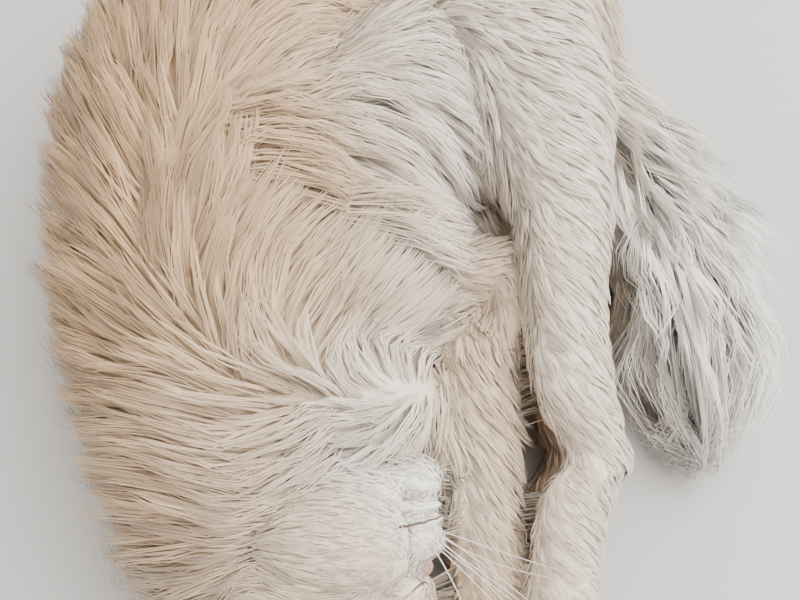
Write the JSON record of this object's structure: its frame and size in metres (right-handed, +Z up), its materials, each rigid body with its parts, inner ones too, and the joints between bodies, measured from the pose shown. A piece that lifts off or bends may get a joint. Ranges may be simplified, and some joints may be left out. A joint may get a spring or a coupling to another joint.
{
  "type": "persian cat, sleeping",
  "caption": "Life-size long-haired cat asleep: curled on its right side, chin turned up, legs folded forward, bushy tail laid beside them.",
  "frame": {"origin": "on the floor, under the middle of the bounding box", "axes": "+Z up out of the cat's left side, +X from the back to the legs, -Y from the rump to the head"},
  "size_m": [0.3256, 0.4206, 0.1159],
  "materials": {
    "coat": "long soft cream fur",
    "nose_leather": "moist, finely grained skin"
  },
  "bodies": {
    "root": {"head": "coat", "lower_jaw": "coat", "nose": "nose_leather", "ear_left": "coat", "ear_right": "coat", "forepaw_left": "coat", "hindpaw_left": "coat", "forepaw_right": "coat", "hindpaw_right": "coat", "foreleg_left": "coat", "hindleg_left": "coat", "foreleg_right": "coat", "hindleg_right": "coat", "neck": "coat", "chest": "coat", "loin": "coat", "rump": "coat", "tail_base": "coat", "tail_middle": "coat", "tail_tip": "coat"}
  },
  "joints": []
}
